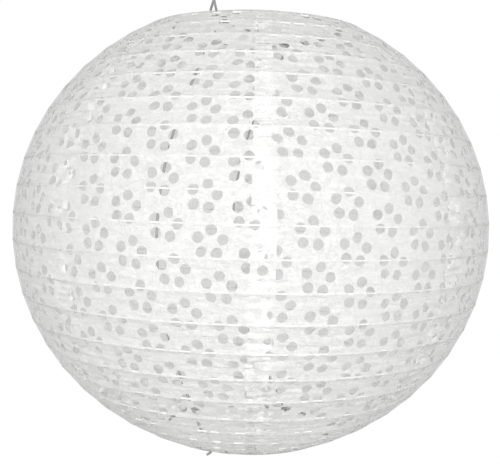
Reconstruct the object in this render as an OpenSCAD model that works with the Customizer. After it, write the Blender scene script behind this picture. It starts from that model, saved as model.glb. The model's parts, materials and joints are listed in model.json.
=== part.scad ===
// Round pierced paper lantern: a white paper globe of glued gores over closed wire ribs,
// held open by a bent-wire expander that hangs from one eye.
// Origin at the centre of the hanging eye, +Z up, millimetres.

/* [Globe] */
// Diameter of the paper globe at its equator
globe_d = 356; // [300:1:420]
// Height between the planes of the two end rings
globe_h = 308; // [260:1:340]
// Drop of the top ring below the end of the globe's curve, which flattens the top
top_sink = 4; // [0:0.5:6]
// Diameter of the end rings, wire centre to wire centre
opening_d = 127; // [110:1:150]
// Number of wire ribs between the end rings
rib_count = 20; // [16:2:22]
// Wire diameter of the ribs
rib_wire_d = 1.2; // [0.8:0.1:1.6]
// Wire diameter of the end rings
ring_wire_d = 2; // [1.4:0.1:2.6]

/* [Paper] */
// Number of paper gores round the globe
gore_count = 8; // [6:1:12]
// Thickness of the paper
paper_t = 0.3; // [0.15:0.05:0.5]
// Gap between the paper and the wire that it is drawn over
paper_gap = 0.25; // [0.2:0.05:0.4]
// Width of the glue lap of each gore under its neighbour, at the equator
lap_w = 15; // [8:1:25]
// Gap between the two layers of a glue lap
lap_gap = 0.05; // [0.03:0.01:0.1]
// Number of openings across each gore, which stand for its punched flowers
window_count = 3; // [1:1:3]
// Width of the openings at the equator
window_w = 16; // [8:1:20]
// Paper left between an opening and the ribs above and below it
window_edge = 3; // [2:0.5:6]
// Direction of the first gore's seam, from +X
seam_angle = -62; // [-90:1:0]

/* [Expander] */
// Wire diameter of the expander
wire_d = 1.8; // [1.4:0.1:2.2]
// Gap between wires that bear on or turn round each other
wire_gap = 0.3; // [0.2:0.05:0.5]
// Inner diameter of the hanging eye
eye_d = 9; // [7:0.5:12]
// Length of the slanting stretch that carries each leg, along the bar
crank = 5; // [4.5:0.5:8]
// Height of the hooks above the end ring
hook_h = 10; // [7:0.5:14]
// Sideways reach of each hook along the end ring
hook_skew = 10; // [6:0.5:14]
// Sideways bow of the legs at mid height
leg_bow = 52; // [20:1:54]
// Outward swell of each leg just above the bottom ring
shoulder = 1.2; // [0.5:0.1:1.5]

/* [Hidden] */
round_fn = 96;
wire_fn = 32;
tube_sides = 10;
arc_steps = 720;

// Wire places
ring_r = opening_d / 2;
wire_r = wire_d / 2;
ring_wire_r = ring_wire_d / 2;
bar_drop = ring_wire_r + wire_gap + wire_r;      // bar below the plane of the end ring that it carries
eye_r = (eye_d + wire_d) / 2;
bar_z = -eye_r;
top_z = bar_z + bar_drop;
bottom_z = top_z - globe_h;
middle_z = bottom_z + (globe_h + top_sink) / 2;

// Ellipse through the rib centres, cut off by the end rings
skin = 2 * paper_t + lap_gap;                      // two layers of paper at the glue laps
rib_a = globe_d / 2 - skin - paper_gap - rib_wire_d / 2;
end_lat = acos(ring_r / rib_a);
rib_b = (globe_h + top_sink) / 2 / sin(end_lat);

// Latitudes at equal arc steps, so that the paper between any two ribs is equally deep
function arc_rate(lat) = norm([rib_a * sin(lat), rib_b * cos(lat)]) * PI / 180;
lat_step = end_lat / arc_steps;
arc_table = [
    for (i = 0, s = 0; i <= arc_steps; s = s + arc_rate((i + 0.5) * lat_step) * lat_step, i = i + 1)
        [s, i * lat_step]
];
half_arc = arc_table[arc_steps][0];
rib_pitch = 2 * half_arc / (rib_count + 1);
function lat_at(arc) = sign(arc) * lookup(abs(arc), arc_table);
function rib_lat(k) = lat_at(half_arc - k * rib_pitch);      // 0 is the top ring
function rib_r(k) = rib_a * cos(rib_lat(k));
function rib_z(k) = middle_z + rib_b * sin(rib_lat(k)) - (k == 0 ? top_sink : 0);
function is_end(k) = k == 0 || k == rib_count + 1;

// Straight cone bands of paper from wire to wire, lifted off the wires by a given distance
function paper_point(k, lift) =
    let (
        wire = is_end(k) ? ring_wire_r : rib_wire_d / 2,
        lat = rib_lat(k),
        out = [rib_b * cos(lat), rib_a * sin(lat)],
        off = (wire + paper_gap + lift) / norm(out)
    )
    [rib_r(k) + off * out.x, rib_z(k) + off * out.y];
function paper_profile(from, to) = concat(
    [for (k = [0 : rib_count + 1]) paper_point(k, to)],
    [for (k = [rib_count + 1 : -1 : 0]) paper_point(k, from)]
);
gore_angle = 360 / gore_count;
lap_angle = lap_w / (globe_d / 2) * 180 / PI;
joggle_angle = lap_angle / 8;                      // strip where a gore steps down to its lap
window_angle = window_w / (globe_d / 2) * 180 / PI;
window_step = (gore_angle - lap_angle - joggle_angle) / window_count;

// Expander: places on the front side, which is -Y; the back is its mirror image
rim_r = ring_wire_r + paper_gap + skin;                      // end ring with the paper drawn round it
leg_y = ring_r - ring_wire_r - wire_gap - wire_r;            // leg just inside the end ring
hook_y = ring_r + rim_r + wire_gap + wire_r;                 // outer upright of the hook
hook_run = 2.5 * wire_d;                                     // straight stretch between crank and ring
crank_y = leg_y - hook_run - crank;                          // where the bar starts to slant
toe_z = bottom_z - rim_r - wire_gap - wire_r;                // toe just under the paper's lower edge
hinge = [crank / 2, -(crank_y + crank / 2), bar_z];
leg_eye_r = wire_d + wire_gap;                               // leg's eye round the bar, wire centre
crank_bend = wire_d / 2;
hook_bend = wire_d;
toe_bend = 2 * wire_d / 3;
slit_w = 3 * wire_d;

function unit(v) = v / norm(v);
function mix(a, b, t) = a + (b - a) * t;

// Points of a rounded corner at b on the way from a to c
function corner(a, b, c, r, steps = 4) =
    let (p = b + r * unit(a - b), q = b + r * unit(c - b))
    [for (i = [0 : steps]) let (t = i / steps) mix(mix(p, b, t), mix(b, q, t), t)];

// Round tube along points, with its section turned half a side so that no edge faces straight out
function tangent(path, i) =
    unit(path[min(i + 1, len(path) - 1)] - path[max(i - 1, 0)]);
module tube(path, d, sides = tube_sides) {
    rings = [
        for (i = [0 : len(path) - 1])
            let (t = tangent(path, i), u = unit(cross(t, [1, 0, 0])), v = cross(t, u))
            for (j = [0 : sides - 1])
                let (turn = 360 * (j + 0.5) / sides)
                path[i] + d / 2 * (cos(turn) * u + sin(turn) * v)
    ];
    last = (len(path) - 1) * sides;
    sides_faces = [
        for (i = [0 : len(path) - 2], j = [0 : sides - 1])
            let (
                a = i * sides + j,
                b = i * sides + (j + 1) % sides,
                c = b + sides,
                e = a + sides
            )
            each [[a, e, b], [b, e, c]]
    ];
    caps = [
        for (j = [1 : sides - 2]) each [[0, j, j + 1], [last, last + j + 1, last + j]]
    ];
    polyhedron(rings, concat(sides_faces, caps), convexity = 6);
}

module wire_ring(r, z, d) {
    translate([0, 0, z])
        rotate_extrude($fn = round_fn)
            translate([r, 0])
                circle(d = d, $fn = wire_fn);
}

module top_ring() {
    color("gainsboro") wire_ring(ring_r, top_z, ring_wire_d);
}

module bottom_ring() {
    color("gainsboro") wire_ring(ring_r, bottom_z, ring_wire_d);
}

module rib(k) {
    color("silver") wire_ring(rib_r(k), rib_z(k), rib_wire_d);
}

// Sector of the ribbed skin, from one lift off the wires to another
module paper_sector(angle, from, to) {
    rotate_extrude(angle = angle, $fn = round_fn)
        polygon(paper_profile(from, to));
}

// Openings in every band of one gore but those at the end rings, clear of its glue laps
function window_profile(k) =
    let (edge = window_edge / rib_pitch)
    [
        for (corner = [[edge, -paper_gap], [edge, skin + paper_gap], [1 - edge, skin + paper_gap], [1 - edge, -paper_gap]])
            mix(paper_point(k, corner.y), paper_point(k + 1, corner.y), corner.x)
    ];
module windows() {
    for (k = [1 : rib_count - 1], i = [0 : window_count - 1])
        rotate(lap_angle + (i + 0.5) * window_step - window_angle / 2)
            rotate_extrude(angle = window_angle, $fn = round_fn)
                polygon(window_profile(k));
}

// One gore: its own sector, stepped down at its far edge to a glue lap under the next gore.
// A slit beside the top ring lets each hook out.
module gore(k) {
    color("white")
        difference() {
            rotate(seam_angle + k * gore_angle) {
                paper_sector(gore_angle, skin - paper_t, skin);
                rotate(gore_angle - joggle_angle) {
                    paper_sector(joggle_angle, paper_t / 2, skin - paper_t / 2);
                    paper_sector(joggle_angle + lap_angle, 0, paper_t);
                }
            }
            rotate(seam_angle + k * gore_angle) windows();
            for (side = [-1, 1])
                translate([crank, side * (hook_y - wire_r / 2), top_z])
                    cube(slit_w, center = true);
        }
}

// Half of the bar and one hook, from the middle out to the hook's end
function hook_half() =
    let (
        start = [0, 0, bar_z],
        slant = [0, -crank_y, bar_z],
        straight = [crank, -crank_y - crank, bar_z],
        foot = [crank, -hook_y, bar_z],
        top = [crank - hook_skew / 2, -ring_r, top_z + hook_h],
        end = [crank - hook_skew, -leg_y + wire_d, top_z + 2 * wire_d]
    )
    concat(
        [start],
        corner(start, slant, straight, crank_bend),
        corner(slant, straight, foot, crank_bend),
        corner(straight, foot, top, hook_bend),
        corner(foot, top, end, hook_bend),
        [end]
    );
function mirrored(path) = [for (p = path) [p.x, -p.y, p.z]];
function reversed(path) = [for (i = [len(path) - 1 : -1 : 0]) path[i]];

// Bar across the top ring with a hook at each end and the hanging eye in its middle
module hanger_bar() {
    half = hook_half();
    rest = [for (i = [1 : len(half) - 1]) half[i]];
    color("darkgray") {
        tube(concat(reversed(half), mirrored(rest)), wire_d);
        rotate([0, 90, 0])
            rotate_extrude($fn = round_fn)
                translate([eye_r, 0])
                    circle(d = wire_d, $fn = wire_fn);
    }
}

// Leg in front: hangs by its eye from the slanting stretch of the bar, bows sideways, swells a little
// above the bottom ring and ends in a toe turned out under it
leg_steps = 22;
shoulder_h = 12;
function leg_path() =
    let (
        head = hinge - [0, 0, leg_eye_r],
        foot = [crank, -sqrt(leg_y * leg_y - crank * crank), bottom_z],
        bowed = [
            for (i = [0 : leg_steps])
                let (
                    t = i / leg_steps,
                    p = mix(head, foot, t),
                    rise = p.z - bottom_z,
                    swell = shoulder * sin(min(180, 90 * rise / shoulder_h))
                )
                p - [4 * leg_bow * t * (1 - t), max(0, swell), 0]
        ]
    )
    concat(
        bowed,
        corner(foot, [foot.x, foot.y, toe_z], [foot.x, -hook_y, toe_z], toe_bend),
        [[foot.x, -hook_y, toe_z]]
    );

module leg_front() {
    color("darkgray") {
        translate(hinge)
            rotate([0, 90, -45])
                rotate_extrude($fn = round_fn)
                    translate([leg_eye_r, 0])
                        circle(d = wire_d, $fn = wire_fn);
        tube(leg_path(), wire_d);
    }
}

module leg_back() {
    mirror([0, 1, 0]) leg_front();
}

function rib_name(k) = str("rib_", k < 10 ? "0" : "", k);
function gore_name(k) = str("gore_", k + 1);

top_ring();
bottom_ring();
hanger_bar();
leg_front();
leg_back();
for (k = [1 : rib_count])
    rib(k);
for (k = [0 : gore_count - 1])
    gore(k);
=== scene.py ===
# Round pierced paper lantern: white paper gores over wire ribs, held open by a bent-wire expander.
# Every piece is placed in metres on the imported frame, whose origin is the centre of the hanging eye.
import json
import math
import random

import bpy
import numpy as np
from mathutils import Matrix, Vector, kdtree, noise
from mathutils.geometry import delaunay_2d_cdt


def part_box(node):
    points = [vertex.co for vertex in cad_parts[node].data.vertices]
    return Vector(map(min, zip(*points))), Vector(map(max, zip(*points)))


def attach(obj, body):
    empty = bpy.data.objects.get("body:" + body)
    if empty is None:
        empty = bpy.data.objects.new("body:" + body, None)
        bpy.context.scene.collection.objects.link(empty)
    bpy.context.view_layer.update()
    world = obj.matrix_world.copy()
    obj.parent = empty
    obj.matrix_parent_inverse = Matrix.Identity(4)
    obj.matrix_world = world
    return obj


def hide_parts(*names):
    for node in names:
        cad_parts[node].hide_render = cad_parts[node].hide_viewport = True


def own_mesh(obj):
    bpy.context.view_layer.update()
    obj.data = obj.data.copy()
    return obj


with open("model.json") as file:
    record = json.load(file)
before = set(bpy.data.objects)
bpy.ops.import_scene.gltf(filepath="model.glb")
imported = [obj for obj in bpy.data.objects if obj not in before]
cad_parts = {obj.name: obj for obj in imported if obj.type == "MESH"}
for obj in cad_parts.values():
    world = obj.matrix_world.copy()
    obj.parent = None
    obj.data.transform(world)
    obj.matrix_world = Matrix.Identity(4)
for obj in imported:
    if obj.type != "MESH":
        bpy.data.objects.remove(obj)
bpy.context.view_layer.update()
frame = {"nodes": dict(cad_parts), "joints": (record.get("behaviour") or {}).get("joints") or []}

# Ribs and end rings
# Closed rings of drawn wire, butt welded. The ribs are dipped in thin white paint, and their outer side,
# under the paper, is drawn darker with painted shade. The thicker end rings are plain galvanised wire.
MM = 0.001
RIB_PAINT = (0.92, 0.92, 0.905, 1)
RIB_THIN = (0.87, 0.87, 0.86, 1)
# A darker copy of the rib paint for the outer side of each rib: painted shade.
RIB_OUTER_PAINTED_SHADE = (0.71, 0.71, 0.7, 1)
RIB_OUTER_PAINTED_SHADE_THIN = (0.66, 0.66, 0.65, 1)
RING_ZINC = (0.56, 0.57, 0.58, 1)
RING_DULL = (0.36, 0.37, 0.38, 1)
WIRE_PATCHES = 160.0
PATCH_EDGE = (0.52, 0.68)
DIE_MARKS = 1400.0
DIE_MARK_DEPTH = 0.05 * MM


class Shade:
    """One output of a material's nodes. Sums of shades add Math nodes, and node() adds any other node."""

    def __init__(self, tree, socket=None):
        self.tree = tree
        self.socket = socket

    def node(self, kind, settings=None, sockets=None, output=0):
        made = self.tree.nodes.new("ShaderNode" + kind)
        for name, value in (settings or {}).items():
            if name == "stops":
                for stop, (place, colour) in zip(made.color_ramp.elements, value):
                    stop.position, stop.color = place, colour
            else:
                setattr(made, name, value)
        for name, value in (sockets or {}).items():
            if isinstance(value, Shade):
                self.tree.links.new(value.socket, made.inputs[name])
            else:
                made.inputs[name].default_value = value
        return Shade(self.tree, made.outputs[output] if made.outputs else None)

    def maths(self, operation, first, second):
        return self.node("Math", {"operation": operation}, {0: first, 1: second})

    def __add__(self, other):
        return self.maths("ADD", self, other)

    __radd__ = __add__

    def __sub__(self, other):
        return self.maths("SUBTRACT", self, other)

    def __rsub__(self, other):
        return self.maths("SUBTRACT", other, self)

    def __mul__(self, other):
        return self.maths("MULTIPLY", self, other)

    __rmul__ = __mul__

    def ramp(self, low, high):
        """0 below low, 1 above high, and a smooth rise between them."""
        settings = {"interpolation_type": "SMOOTHSTEP"}
        return self.node("MapRange", settings, {"Value": self, "From Min": low, "From Max": high})

    def between(self, first, second):
        """A colour mixed from first, at 0, to second, at 1."""
        return self.node("Mix", {"data_type": "RGBA"}, {0: self, 6: first, 7: second}, output=2)


def new_material(name):
    """An empty material, and the shade that adds nodes to it."""
    material = bpy.data.materials.new(name)
    material.use_nodes = True
    material.node_tree.nodes.clear()
    return material, Shade(material.node_tree)


def surface(shade, shader):
    shade.node("OutputMaterial", sockets={"Surface": shader})


def grain(shade, place, scale, detail=3.0, swirl=0.0):
    """Noise from 0 to 1 with scale bumps to each unit of place, drawn into swirls if asked."""
    sockets = {"Vector": place, "Scale": scale, "Detail": detail, "Distortion": swirl}
    return shade.node("TexNoise", sockets=sockets)


def drawn_wire(name, bright, dull, metal, rough):
    """Wire with the long die marks of drawing, and patches where its coat has gone dull."""
    material, shade = new_material(name)
    place = shade.node("TexCoord", output=3)
    patches = grain(shade, place, WIRE_PATCHES).ramp(*PATCH_EDGE)
    marks = grain(shade, place, DIE_MARKS, 2.0)
    bump = shade.node("Bump", sockets={"Strength": 0.25, "Distance": DIE_MARK_DEPTH, "Height": marks})
    shader = shade.node("BsdfPrincipled", sockets={
        "Base Color": patches.between(bright, dull),
        "Metallic": metal,
        "Roughness": rough + 0.2 * patches + 0.15 * marks,
        "Normal": bump,
    })
    surface(shade, shader)
    return material


def dress(node, material):
    """Give a node of the frame its finish, and keep its shape."""
    slots = frame["nodes"][node].data.materials
    slots.clear()
    slots.append(material)


rib_names = sorted(name for name in frame["nodes"] if name.startswith("rib_"))
rib_wire = drawn_wire("white_rib_wire", RIB_PAINT, RIB_THIN, 0.0, 0.6)
rib_wire_painted_shade = drawn_wire("outer_rib_wire_painted_shade", RIB_OUTER_PAINTED_SHADE, RIB_OUTER_PAINTED_SHADE_THIN, 0.0, 0.6)
ring_wire = drawn_wire("galvanised_ring_wire", RING_ZINC, RING_DULL, 0.9, 0.28)
for rib_name in rib_names:
    dress(rib_name, rib_wire)
    rib = frame["nodes"][rib_name].data
    # The outward faces of each rib take the darker copy, which is painted shade. The inward faces keep the
    # white paint.
    rib.materials.append(rib_wire_painted_shade)
    for face in rib.polygons:
        face.material_index = int(face.normal.xy.dot(face.center.xy) > 0)
for ring_name in ("top_ring", "bottom_ring"):
    dress(ring_name, ring_wire)

# Paper gores
# Eight lens-shaped sheets of thin punched paper, glued to the ribs while these are held on a former.
# Each sheet's free edge lies over the glue lap of the one before it, and its ends fold round the end rings.
gore_names = sorted(name for name in frame["nodes"] if name.startswith("gore_"))
GORE_ANGLE = 2 * math.pi / len(gore_names)
SEAM_ANGLE = math.radians(-62)
GLOBE_R = 0.178
LAP_W = 15 * MM
LAP_ANGLE = LAP_W / GLOBE_R
JOGGLE_ANGLE = LAP_ANGLE / 8
PAPER_GAP = 0.25 * MM
MAIN_LIFT = 0.5 * MM
LAP_LIFT = 0.15 * MM
LAP_DROP = 0.9 * MM
HEM_FLAP = 5 * MM
HEM_TURN = math.radians(215)
HEM_STEPS = 7
HEM_INSET = 0.25 * MM
HEM_FLAP_ROWS = (0.4, 0.7, 1.0)
# Rows of points from one rib to the next, as shares of the way. They crowd beside the ribs.
BAND_ROWS = (0, 0.02, 0.045, 0.075, *(0.11 + 0.0433 * i for i in range(19)), 0.925, 0.955, 0.98)
COLUMN = 4.6 * MM
SAG = 0.15 * MM
RIB_FALL = 0.9 * MM
RIB_FALL_REACH = 1.1 * MM
CREASE = 1.4 * MM
PUCKER = 0.4 * MM
# The creases are deeper low on the globe and beside each sheet's free edge.
LOOSE = 0.7
LOOSE_LOW = 0.8
LOOSE_SEAM = 1.3
LOOSE_SEAM_REACH = 16 * MM
# Bumps to the metre across and along the sheet, and the step in the noise to the next gore. The folds
# have two more: how much they slant, and where their noise starts.
BILLOWS = (16, 25, 1.9)
CREASES = (55, 440, 5.3)
PUCKERS = (260, 70, 4.1)
FOLDS = (45, 170, 2.1, 35, 9)

FLOWER_PITCH = 26.75 * MM
FLOWER_TURN = math.radians(9.9)
FLOWER_R = 7.2 * MM
FLOWER_LEAN = math.radians(8.6)
FLOWER_LEAN_SPREAD = 0.05
FLOWER_STRETCH = Vector((1.06, 1))
FLOWER_STEPS = range(-20, 21)
PETALS = 5
HOLE_R = 3.3 * MM
HOLE_R_SPREAD = (0.95, 1.04)
HOLE_OVAL = 0.07
HOLE_RAGGED = 0.02
HOLE_SIDES = 14
HOLE_ROOM = 0.7 * MM
HOLE_ROOM_AT_RIBS = 0.3 * MM
FLOWER_START = Vector((-12.86, 23.41)) * MM
FLOWER_DRIFT = Vector((6.29, -5.22)) * MM
HOOK_X = 5 * MM
HOOK_SLIT_R = 2.3 * MM
HOOK_SLIT_DOWN = 1.2 * MM
HOOK_SLIT_IN_FLAP = 2 * MM
FLAT_SIZE = 0.46
FLAT_START = (0.5, 0.05)
POINTS_MEET = 1e-7


class Ring:
    """A wire ring of the frame: its radius, height and wire radius."""

    def __init__(self, node):
        low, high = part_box(node)
        self.wire = (high.z - low.z) / 2
        self.r = (high.x - low.x) / 2 - self.wire
        self.z = (high.z + low.z) / 2


rings = [Ring(name) for name in ["top_ring", *rib_names, "bottom_ring"]]


def outward(k):
    """Direction in the r, z plane that points straight out of the paper at ring k."""
    before, after = rings[max(k - 1, 0)], rings[min(k + 1, len(rings) - 1)]
    return Vector((before.z - after.z, after.r - before.r)).normalized()


class Row:
    """A line round the gore: its arc from the top ring, its place in the r, z plane and its way out."""

    def __init__(self, arc, place, out, band=None, share=0.0):
        self.arc, self.place, self.out = arc, place, out
        self.band, self.share = band, share


def lifted(k):
    """Place in the r, z plane of the outer sheet of paper over ring k."""
    ring = rings[k]
    return Vector((ring.r, ring.z)) + outward(k) * (ring.wire + PAPER_GAP + MAIN_LIFT)


def hem_rows(k, side):
    """Rows of the fold round an end ring and of its flap inside, from the paper's edge inwards."""
    ring, start = rings[k], outward(k)
    reach = ring.wire + PAPER_GAP + MAIN_LIFT
    rows, arc = [], 0.0
    last = lifted(k)
    for i in range(1, HEM_STEPS + 1):
        out = Matrix.Rotation(side * HEM_TURN * i / HEM_STEPS, 2) @ start
        place = Vector((ring.r, ring.z)) + out * reach
        arc += (place - last).length
        rows.append(Row(arc, place, out))
        last = place
    near = lifted(k)
    along = (lifted(k + side) - near).normalized()
    for share in HEM_FLAP_ROWS:
        inside = near + along * HEM_FLAP * share - start * (HEM_INSET + SAG * share)
        arc += (inside - last).length
        rows.append(Row(arc, inside, -start))
        last = inside
    return rows


rows, arc = [], 0.0
for k in range(len(rings) - 1):
    first, second = lifted(k), lifted(k + 1)
    for share in BAND_ROWS:
        out = outward(k).lerp(outward(k + 1), share).normalized()
        rows.append(Row(arc + share * (second - first).length, first.lerp(second, share), out, k, share))
    arc += (second - first).length
rows.append(Row(arc, lifted(len(rings) - 1), outward(len(rings) - 1), len(rings) - 2, 1.0))
length = arc
top_hem = [Row(-r.arc, r.place, r.out) for r in hem_rows(0, 1)]
bottom_hem = [Row(length + r.arc, r.place, r.out) for r in hem_rows(len(rings) - 1, -1)]
rows = top_hem[::-1] + rows + bottom_hem
RIB_PITCH = length / (len(rings) - 1)
row_arcs = [row.arc for row in rows]
row_r = [row.place.x for row in rows]


def radius_at(arc):
    return np.interp(arc, row_arcs, row_r)


def ripple(x, arc, gore, across, along, gore_step, slant=0.0, start=0.0):
    """Smooth noise from -1 to 1 at a place on the sheet."""
    return noise.noise(Vector((x * across + arc * slant, arc * along, gore * gore_step + start)))


def swell(turn, r, arc, gore, drop=0.0):
    """How far the glued paper stands out from straight bands, for its sag, creases and puckers."""
    if arc <= 0 or arc >= length:
        return 0.0
    x, seam_gap = turn * r, max(0.0, turn + GORE_ANGLE / 2) * r
    i = int(np.searchsorted(row_arcs, arc, side="right")) - 1
    low, high = rows[i], rows[min(i + 1, len(rows) - 1)]
    share = low.share + (arc - low.arc) / max(high.arc - low.arc, 1e-9) * ((high.share or 1.0) - low.share)
    slack = 4 * share * (1 - share)
    below_middle = max(0.0, arc / length - 0.5)
    loose = LOOSE + LOOSE_LOW * below_middle + LOOSE_SEAM * math.exp(-seam_gap / LOOSE_SEAM_REACH)
    billow = ripple(x, arc, gore, *BILLOWS)
    crease = ripple(x, arc, gore, *CREASES)
    fold = abs(ripple(x, arc, gore, *FOLDS))
    pucker = ripple(x, arc, gore, *PUCKERS)
    from_rib = min(share, 1 - share) * RIB_PITCH
    near_rib = math.exp(-from_rib / RIB_FALL_REACH)
    return (
        -(SAG * (1 + 0.8 * billow) + drop * slack) * slack
        - RIB_FALL * (1 - near_rib)
        + CREASE * loose * slack * (crease - 0.6 * fold)
        + PUCKER * loose * near_rib * pucker * slack ** 0.5
    )


def flower_holes(gore, lean_by):
    """Centre and radius of each punched hole that can reach the gore, in flat metres from its middle."""
    turn = gore if gore < len(gore_names) // 2 else gore - len(gore_names)
    start = FLOWER_START - FLOWER_DRIFT * turn
    down = Matrix.Rotation(FLOWER_TURN, 2) @ Vector((0, -FLOWER_PITCH))
    across = Matrix.Rotation(math.radians(60), 2) @ down
    half_wide = (GORE_ANGLE / 2 + LAP_ANGLE) * max(row_r) + 2 * FLOWER_R
    half_long = length / 2 + HEM_FLAP + FLOWER_R
    holes = []
    for i in FLOWER_STEPS:
        for j in FLOWER_STEPS:
            middle = start + (across * i + down * j) * FLOWER_STRETCH
            if abs(middle.x) > half_wide or abs(middle.y) > half_long:
                continue
            lean = FLOWER_LEAN + lean_by.gauss(0, FLOWER_LEAN_SPREAD)
            for petal in range(PETALS):
                angle = math.pi / 2 - lean - petal * 2 * math.pi / PETALS
                centre = middle + Vector((math.cos(angle), math.sin(angle))) * FLOWER_R * FLOWER_STRETCH
                holes.append((centre.x, length / 2 - centre.y, HOLE_R * lean_by.uniform(*HOLE_R_SPREAD)))
    return holes


def hook_slits(gore):
    """Slits beside the top ring, in the sheet and in its flap, where a hook of the bar comes out."""
    low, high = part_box("hanger_bar")
    slits = []
    for edge in (low.y, high.y):
        middle = SEAM_ANGLE + (gore + 0.5) * GORE_ANGLE
        angle = math.atan2(edge, HOOK_X)
        gap = (angle - middle + math.pi) % (2 * math.pi) - math.pi
        if -GORE_ANGLE / 2 < gap < GORE_ANGLE / 2 + LAP_ANGLE:
            slits.append((gap * rings[0].r, HOOK_SLIT_DOWN, HOOK_SLIT_R))
            slits.append((gap * rings[0].r, top_hem[-1].arc + HOOK_SLIT_IN_FLAP, HOOK_SLIT_R))
    return slits


def flat_gore(gore, lean_by):
    """Vertices and triangles of the punched gore laid flat, as x from its middle and arc from the top."""
    left, right = -GORE_ANGLE / 2, GORE_ANGLE / 2 + LAP_ANGLE
    holes = flower_holes(gore, lean_by) + hook_slits(gore)
    inside = [
        hole for hole in holes
        if row_arcs[0] - hole[2] < hole[1] < row_arcs[-1] + hole[2]
        and left * radius_at(hole[1]) - hole[2] < hole[0] < right * radius_at(hole[1]) + hole[2]
    ]
    finder = kdtree.KDTree(len(inside))
    for i, (x, y, r) in enumerate(inside):
        finder.insert((x, y, 0), i)
    finder.balance()

    def near_hole(x, y, room):
        _, i, gap = finder.find((x, y, 0))
        return gap < inside[i][2] + room

    points, edges, rims = [], [], []
    left_edge, right_edge = [], []
    for row in rows:
        r = row.place.x
        count = max(4, round((right - left) * r / COLUMN))
        crisp = row.band is None or row.share in (0.0, 1.0)
        room = HOLE_ROOM_AT_RIBS if crisp else HOLE_ROOM
        line = []
        for i in range(count + 1):
            x = (left + (right - left) * i / count) * r
            if i in (0, count) or not near_hole(x, row.arc, room):
                line.append(len(points))
                points.append((x, row.arc))
        left_edge.append(line[0])
        right_edge.append(line[-1])
        if crisp:
            edges += zip(line, line[1:])
    edges += zip(left_edge, left_edge[1:])
    edges += zip(right_edge, right_edge[1:])
    for x, y, r in inside:
        start = len(points)
        rim = []
        long_way, stretch = lean_by.uniform(0, math.pi), lean_by.uniform(0, HOLE_OVAL)
        for i in range(HOLE_SIDES):
            angle = 2 * math.pi * i / HOLE_SIDES
            ragged = lean_by.uniform(-HOLE_RAGGED, HOLE_RAGGED)
            reach = r * (1 + stretch * math.cos(2 * (angle - long_way)) + ragged)
            rim.append((x + reach * math.cos(angle), y + reach * math.sin(angle)))
        points += rim
        rims.append(rim)
        edges += [(start + i, start + (i + 1) % HOLE_SIDES) for i in range(HOLE_SIDES)]
    places, _, faces, *_ = delaunay_2d_cdt([Vector(p) for p in points], edges, [], 0, POINTS_MEET)
    places = np.array([tuple(p) for p in places])
    faces = np.array([f for f in faces if len(f) == 3])
    middles = places[faces].mean(1)
    nearest = np.array([finder.find((x, y, 0))[1] for x, y in middles])
    rim = np.array(rims)[nearest]
    step = np.roll(rim, -1, 1) - rim
    to = middles[:, None, :] - rim
    punched = (step[..., 0] * to[..., 1] - step[..., 1] * to[..., 0] > 0).all(1)
    r = radius_at(middles[:, 1])
    kept = ~punched & (middles[:, 0] > left * r) & (middles[:, 0] < right * r)
    kept &= (middles[:, 1] > row_arcs[0]) & (middles[:, 1] < row_arcs[-1])
    return places, faces[kept]


def on_globe(x, arc, gore):
    """Place on the globe of a point of the flat gore. The lap hangs under the sheet over it."""
    i = min(max(int(np.searchsorted(row_arcs, arc, side="right")) - 1, 0), len(rows) - 2)
    low, high = rows[i], rows[i + 1]
    share = (arc - low.arc) / (high.arc - low.arc)
    place, out = low.place.lerp(high.place, share), low.out.lerp(high.out, share)
    turn = x / place.x
    under = min(1.0, max(0.0, (turn - GORE_ANGLE / 2 + JOGGLE_ANGLE) / JOGGLE_ANGLE))
    rise = -(MAIN_LIFT - LAP_LIFT) * under
    if under < 1:
        rise += (1 - under) * swell(turn, place.x, arc, gore)
    if under > 0:
        rise += under * swell(turn - GORE_ANGLE, place.x, arc, (gore + 1) % len(gore_names), LAP_DROP)
    place = place + out.normalized() * rise
    angle = SEAM_ANGLE + (gore + 0.5) * GORE_ANGLE + turn
    return place.x * math.cos(angle), place.x * math.sin(angle), place.y


# The paper's grain, in bumps to the width of the flat map, and its colours.
FIBRES = (60.0, 420.0, 1.0)
STRANDS = (500.0, 130.0, 1.0)
FINE_CREASES = (30.0, 300.0, 1.0)
CLOUDS = 55.0
SLACK_PATCHES = 9.0
CRUMPLES = 150.0
TONE_AND_CRUMPLE_SHADE_EDGE = (0.41, 0.59)
SLACK_EDGE = (0.42, 0.6)
PAPER_BUMP = 0.7 * MM
PAPER_GREY = (0.92, 0.92, 0.915, 1)
PAPER_WHITE = (0.985, 0.985, 0.98, 1)
PAPER_LIT = (0.97, 0.97, 0.965, 1)
SHEET_GLOW = 0.62
LAP_GLOW = 0.48


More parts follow.
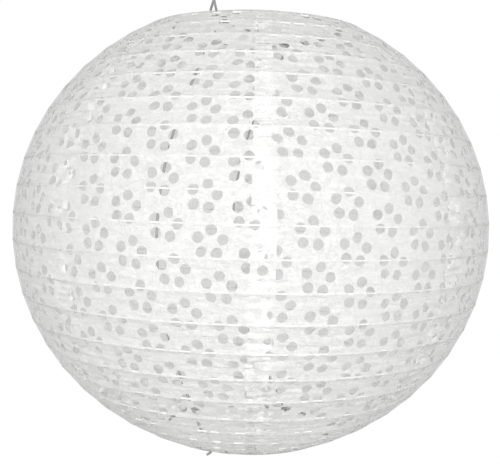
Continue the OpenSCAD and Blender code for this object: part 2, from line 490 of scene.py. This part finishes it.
def punched_paper(name, let_through):
    """White paper with fibres, crumples and creases, which lets a share of the light through."""
    material, shade = new_material(name)
    flat = shade.node("TexCoord", output=2)
    lying = shade.node("Mapping", sockets={"Vector": flat, "Scale": FIBRES})
    crossing = shade.node("Mapping", sockets={"Vector": flat, "Scale": STRANDS})
    folding = shade.node("Mapping", sockets={"Vector": flat, "Scale": FINE_CREASES})
    clouds = grain(shade, flat, CLOUDS, 4.0)
    patches = grain(shade, flat, SLACK_PATCHES, 2.0)
    fibres = grain(shade, lying, 1.0, 5.0)
    strands = grain(shade, crossing, 1.0, 3.0)
    creases = grain(shade, folding, 1.0, 2.5, 0.8)
    crumples = grain(shade, flat, CRUMPLES, 3.0, 1.5)
    # The paper's colour is partly its own random tone and partly painted shade of its crumples: it is greyer
    # where the crumples' bumps dip.
    tone_and_crumple_shade = (0.2 * clouds + 0.15 * fibres + 0.1 * strands + 0.55 * crumples).ramp(*TONE_AND_CRUMPLE_SHADE_EDGE)
    slack = 0.3 + 0.7 * patches.ramp(*SLACK_EDGE)
    height = 0.2 * fibres + 0.12 * strands + 1.4 * crumples + slack * creases
    bump = shade.node("Bump", sockets={"Strength": 1.0, "Distance": PAPER_BUMP, "Height": height})
    matte = shade.node("BsdfPrincipled", sockets={
        "Base Color": tone_and_crumple_shade.between(PAPER_GREY, PAPER_WHITE),
        "Roughness": 0.8 + 0.15 * clouds,
        "Specular IOR Level": 0.25,
        "Normal": bump,
    })
    through = shade.node("BsdfTranslucent", sockets={"Color": PAPER_LIT, "Normal": bump})
    thin = let_through * (1.1 - 0.2 * tone_and_crumple_shade)
    surface(shade, shade.node("MixShader", sockets={0: thin, 1: matte, 2: through}))
    return material


paper = punched_paper("punched_paper", SHEET_GLOW)
glued_paper = punched_paper("glued_paper", LAP_GLOW)
travel = next(j for j in frame["joints"] if j["name"] == "collapse")["range_m"][1]
tall = rings[0].z - rings[-1].z
for gore, gore_name in enumerate(gore_names):
    places, faces = flat_gore(gore, random.Random(gore))
    used, faces = np.unique(faces, return_inverse=True)
    places, faces = places[used], faces.reshape(-1, 3)
    mesh = bpy.data.meshes.new(gore_name + "_paper")
    mesh.from_pydata([on_globe(x, y, gore) for x, y in places], [], faces.tolist())
    corners = np.zeros(len(mesh.loops), np.int32)
    mesh.loops.foreach_get("vertex_index", corners)
    flat_map = mesh.uv_layers.new(name="flat")
    flat_places = places[corners] / FLAT_SIZE + FLAT_START
    flat_map.uv.foreach_set("vector", flat_places.astype(np.float32).ravel())
    mesh.shade_smooth()
    mesh.materials.append(paper)
    mesh.materials.append(glued_paper)
    triangles = places[faces]
    middles = triangles.mean(1)
    lap = middles[:, 0] > GORE_ANGLE / 2 * radius_at(middles[:, 1])
    mesh.polygons.foreach_set("material_index", lap.astype(np.int32))
    sheet = bpy.data.objects.new(gore_name + "_paper", mesh)
    bpy.context.scene.collection.objects.link(sheet)
    ahead, aside = triangles[:, 1] - triangles[:, 0], triangles[:, 2] - triangles[:, 0]
    area = float(np.abs(ahead[:, 0] * aside[:, 1] - ahead[:, 1] * aside[:, 0]).sum() / 2)
    size = places.max(0) - places.min(0)
    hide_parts(gore_name)
    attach(sheet, "root")
    1 - travel / tall
    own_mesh(sheet)

# Expander
# Three lengths of dark spring wire: a bar that hooks over the top ring and is bent into a hanging eye,
# and two bowed legs that curl round the bar and press the bottom ring down with their turned-out toes.
WIRE_R = 0.9 * MM
WIRE_GAP = 0.3 * MM
WIRE_SIDES = 14
DOME_H = 0.35
DOME_R = 0.7
POINTS_APART = 0.05 * MM
HEM_LIFT = 0.65 * MM
CRANK = 5 * MM
HOOK_RUN = 4.5 * MM
HOOK_H = 10 * MM
HOOK_SKEW = 10 * MM
LEG_BOW = 52 * MM
SHOULDER = 1.2 * MM
SHOULDER_H = 12 * MM
LEG_STEPS = 44
CURL_STEPS = 30
CURL_TURN = 2.3 * math.pi
SIDE_BY_SIDE = 2.1
CURL_LOOSE = 1.15
CURL_ASIDE = 1.2
WIRE_DARK = (0.44, 0.44, 0.445, 1)
WIRE_WORN = (0.58, 0.58, 0.585, 1)
top, bottom = rings[0], rings[-1]
rim_r = top.wire + PAPER_GAP + HEM_LIFT
bar_z = top.z - top.wire - WIRE_GAP - WIRE_R
eye_r = -bar_z
leg_y = top.r - top.wire - WIRE_GAP - WIRE_R
hook_y = top.r + rim_r + WIRE_GAP + WIRE_R
crank_y = leg_y - HOOK_RUN - CRANK
toe_z = bottom.z - rim_r - WIRE_GAP - WIRE_R
hinge = Vector((CRANK / 2, -(crank_y + CRANK / 2), bar_z))
leg_eye_r = 2 * WIRE_R + WIRE_GAP


def corner(before, at, after, r, steps=6):
    """Points of a rounded corner on the way from before to after."""
    start, end = at + r * (before - at).normalized(), at + r * (after - at).normalized()
    shares = [i / steps for i in range(steps + 1)]
    return [start.lerp(at, t).lerp(at.lerp(end, t), t) for t in shares]


def wire_mesh(name, path):
    """Round wire along a path, with its section carried along without twist and its ends domed."""
    path = [p for i, p in enumerate(path) if i == 0 or (p - path[i - 1]).length > POINTS_APART]
    tangents = []
    for i in range(len(path)):
        tangents.append((path[min(i + 1, len(path) - 1)] - path[max(i - 1, 0)]).normalized())
    side = tangents[0].orthogonal().normalized()
    vertices, sections = [], []

    def section(at, along, across, r):
        start = len(vertices)
        up = along.cross(across)
        for j in range(WIRE_SIDES):
            angle = 2 * math.pi * j / WIRE_SIDES
            vertices.append(at + r * (math.cos(angle) * across + math.sin(angle) * up))
        sections.append(start)

    section(path[0] - tangents[0] * WIRE_R * DOME_H, tangents[0], side, WIRE_R * DOME_R)
    for i, (at, along) in enumerate(zip(path, tangents)):
        if i:
            side = tangents[i - 1].rotation_difference(along) @ side
        section(at, along, side, WIRE_R)
    section(path[-1] + tangents[-1] * WIRE_R * DOME_H, tangents[-1], side, WIRE_R * DOME_R)
    faces = []
    for a, b in zip(sections, sections[1:]):
        for j in range(WIRE_SIDES):
            k = (j + 1) % WIRE_SIDES
            faces.append((a + j, a + k, b + k, b + j))
    faces.append([sections[0] + j for j in reversed(range(WIRE_SIDES))])
    faces.append([sections[-1] + j for j in range(WIRE_SIDES)])
    mesh = bpy.data.meshes.new(name)
    mesh.from_pydata(vertices, [], faces)
    mesh.shade_smooth()
    piece = bpy.data.objects.new(name, mesh)
    bpy.context.scene.collection.objects.link(piece)
    return piece


def hook_half():
    """Half of the bar and one hook, from beside the eye out to the hook's end."""
    start = Vector((0, -3 * eye_r, bar_z))
    slant = Vector((0, -crank_y, bar_z))
    straight = Vector((CRANK, -crank_y - CRANK, bar_z))
    foot = Vector((CRANK, -hook_y, bar_z))
    peak = Vector((CRANK - HOOK_SKEW / 2, -top.r, top.z + HOOK_H))
    end = Vector((CRANK - HOOK_SKEW, -leg_y + 2 * WIRE_R, top.z + 4 * WIRE_R))
    return [
        start,
        *corner(start, slant, straight, WIRE_R),
        *corner(slant, straight, foot, WIRE_R),
        *corner(straight, foot, peak, 2 * WIRE_R),
        *corner(foot, peak, end, 2 * WIRE_R),
        end,
    ]


def hanging_eye(steps=36):
    """One full turn of the bar round the origin, its two ends side by side."""
    points = []
    for i in range(steps + 1):
        angle = -math.pi / 2 + 2 * math.pi * i / steps
        aside = (i / steps - 0.5) * SIDE_BY_SIDE * WIRE_R
        points.append(Vector((aside, eye_r * math.cos(angle), eye_r * math.sin(angle))))
    return points


def mirrored(path):
    return [Vector((p.x, -p.y, p.z)) for p in path]


def leg_path():
    """A leg from the curl round the bar down to its toe."""
    axis = Vector((1, -1, 0)).normalized()
    level = Vector((1, 1, 0)).normalized()
    curl = []
    for i in range(CURL_STEPS + 1):
        left = 1 - i / CURL_STEPS
        angle = -CURL_TURN * left
        round_bar = -level * math.cos(angle) * leg_eye_r + Vector((0, 0, 1)) * math.sin(angle) * leg_eye_r
        back_along = axis * SIDE_BY_SIDE * WIRE_R * left * CURL_LOOSE
        curl.append(hinge + round_bar - back_along + axis * CURL_ASIDE * WIRE_R)
    head = hinge - Vector((0, 0, leg_eye_r))
    foot = Vector((CRANK, -math.sqrt(leg_y ** 2 - CRANK ** 2), bottom.z))
    offset = curl[-1] - head
    bowed = []
    for i in range(1, LEG_STEPS + 1):
        t = i / LEG_STEPS
        at = head.lerp(foot, t) + offset * max(0.0, 1 - 6 * t) ** 2
        rise = at.z - bottom.z
        out = SHOULDER * math.sin(math.radians(min(180, 90 * max(0.0, rise) / SHOULDER_H)))
        bowed.append(at - Vector((4 * LEG_BOW * t * (1 - t), out, 0)))
    toe = Vector((foot.x, foot.y, toe_z))
    tip = Vector((foot.x, -hook_y, toe_z))
    return [*curl, *bowed, *corner(foot, toe, tip, 4 * WIRE_R / 3), tip]


spring_wire = drawn_wire("dark_spring_wire", WIRE_DARK, WIRE_WORN, 0.7, 0.35)
half = hook_half()
bar = wire_mesh("bar_wire", half[::-1] + hanging_eye() + mirrored(half))
front_leg = wire_mesh("front_leg_wire", leg_path())
back_leg = wire_mesh("back_leg_wire", mirrored(leg_path()))
wires = (
    (bar, "hanger_bar", "root"),
    (front_leg, "leg_front", "leg_front"),
    (back_leg, "leg_back", "leg_back"),
)
for piece, node, body in wires:
    piece.data.materials.append(spring_wire)
    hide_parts(node)
    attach(piece, body)

# Studio
# A white tent fills the background and throws no light. That comes from a sky, brighter behind and dimmer
# above and below, and from one soft light behind the camera. A grey screen round the globe, seen only from
# its inside, stands for the unlit room behind the lantern, so that no white shows through two holes in line.
globe_z = (rings[1].z + rings[-2].z) / 2
FLOOR_Z = globe_z - 1.2
TENT_R = 6.0
TENT_GLOW = 1.02
SCREEN_LIFT = 0.1 * MM
ROOM_GREY = (0.68, 0.68, 0.68, 1)
SKY_FRONT = 0.14
SKY_REAR = 1.19
SKY_DIP = 0.55
SKY_EDGE = (-0.5, 0.5)
SKY_DIP_EDGE = (0.5, 1.0)
SKY_FALL = 0.32


def turned_shell(name, profile, sides=64):
    """A closed stage shell turned from r, z points, top first, which only the camera sees."""
    vertices, faces = [], []
    for r, z in profile:
        for j in range(sides):
            angle = 2 * math.pi * j / sides
            vertices.append((r * math.cos(angle), r * math.sin(angle), z))
    for i in range(len(profile) - 1):
        for j in range(sides):
            a, b = i * sides + j, i * sides + (j + 1) % sides
            faces.append((b, a, a + sides, b + sides))
    last = len(vertices) - sides
    faces += [list(range(sides)), list(range(last + sides - 1, last - 1, -1))]
    mesh = bpy.data.meshes.new(name)
    mesh.from_pydata(vertices, [], faces)
    shell = bpy.data.objects.new(name, mesh)
    bpy.context.scene.collection.objects.link(shell)
    for ray in ("diffuse", "glossy", "transmission", "volume_scatter", "shadow"):
        setattr(shell, "visible_" + ray, False)
    return shell


tent_lines = [math.radians(angle) for angle in range(88, -1, -8)]
tent_wall = [(TENT_R * math.cos(rise), FLOOR_Z + TENT_R * math.sin(rise)) for rise in tent_lines]
tent = turned_shell("white_tent", tent_wall)
backdrop, shade = new_material("white_backdrop")
surface(shade, shade.node("Emission", sockets={"Color": (1, 1, 1, 1), "Strength": TENT_GLOW}))
tent.data.materials.append(backdrop)

screen = turned_shell("room_screen", [lifted(k) + SCREEN_LIFT * outward(k) for k in range(len(rings))])
room, shade = new_material("unlit_room")
inside = shade.node("NewGeometry", output=6)
clear = shade.node("BsdfTransparent")
grey = shade.node("Emission", sockets={"Color": ROOM_GREY})
surface(shade, shade.node("MixShader", sockets={0: inside, 1: clear, 2: grey}))
screen.data.materials.append(room)
1 - travel / tall
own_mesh(screen)

scene = bpy.context.scene
scene.view_settings.view_transform = "Standard"
scene.cycles.diffuse_bounces = 8
scene.world = bpy.data.worlds.new("soft_sky")
scene.world.use_nodes = True
shade = Shade(scene.world.node_tree)
ray = shade.node("TexCoord")
rearward = (-math.cos(SEAM_ANGLE), -math.sin(SEAM_ANGLE), 0)
behind = shade.node("VectorMath", {"operation": "DOT_PRODUCT"}, {0: ray, 1: rearward}, output=1)
height = shade.node("SeparateXYZ", sockets={0: ray}, output=2)
level = 1.0 - SKY_FALL * shade.maths("ABSOLUTE", height, 0.0)
around = behind.ramp(*SKY_EDGE) * (1.0 - SKY_DIP * behind.ramp(*SKY_DIP_EDGE))
glow = SKY_FRONT + (SKY_REAR - SKY_FRONT) * around * level
sky = scene.world.node_tree.nodes["Background"]
sky.inputs["Color"].default_value = (1, 1, 1, 1)
scene.world.node_tree.links.new(glow.socket, sky.inputs["Strength"])

# Camera
# Nearly level with the globe, in front of the front seam, and leaning a little to one side. The soft light
# stands behind it.
PHOTO_W = 500
FOCAL_PX = 813.94
SENSOR = 36
DISTANCE = 3.5525 * GLOBE_R
RISE = math.radians(2.6326)
ROLL = math.radians(1.4642)
CENTRE_PX = (250.764, 227.99)
FRAME_MIDDLE = (250, 232)
LIGHT_BACK = 0.95
LIGHT_UP = 0.05
LIGHT_SIZE = 0.6
LIGHT_POWER = 10.0
facing = Vector((math.cos(SEAM_ANGLE), math.sin(SEAM_ANGLE), 0))
aside = Vector((-facing.y, facing.x, 0))
back = facing * math.cos(RISE) + Vector((0, 0, math.sin(RISE)))
above = back.cross(aside)
lens = bpy.data.cameras.new("camera")
lens.sensor_width = SENSOR
lens.lens = FOCAL_PX / PHOTO_W * SENSOR
lens.shift_x = (FRAME_MIDDLE[0] - CENTRE_PX[0]) / PHOTO_W
lens.shift_y = (CENTRE_PX[1] - FRAME_MIDDLE[1]) / PHOTO_W
camera = bpy.data.objects.new("camera", lens)
scene.collection.objects.link(camera)
right = aside * math.cos(ROLL) + above * math.sin(ROLL)
up = above * math.cos(ROLL) - aside * math.sin(ROLL)
middle = Vector((0, 0, globe_z))
look = Matrix((right, up, back)).transposed().to_4x4()
camera.matrix_world = Matrix.Translation(middle + back * DISTANCE) @ look
scene.camera = camera


def soft_light(name, place, size, power):
    """A round soft light that shines on the middle of the globe."""
    lamp = bpy.data.lights.new(name, "AREA")
    lamp.shape = "DISK"
    lamp.size = size
    lamp.energy = power
    stand = bpy.data.objects.new(name, lamp)
    scene.collection.objects.link(stand)
    aim = (place - middle).to_track_quat("Z", "Y").to_matrix().to_4x4()
    stand.matrix_world = Matrix.Translation(place) @ aim
    stand.visible_camera = False


soft_light("softbox", middle + back * LIGHT_BACK + up * LIGHT_UP, LIGHT_SIZE, LIGHT_POWER)
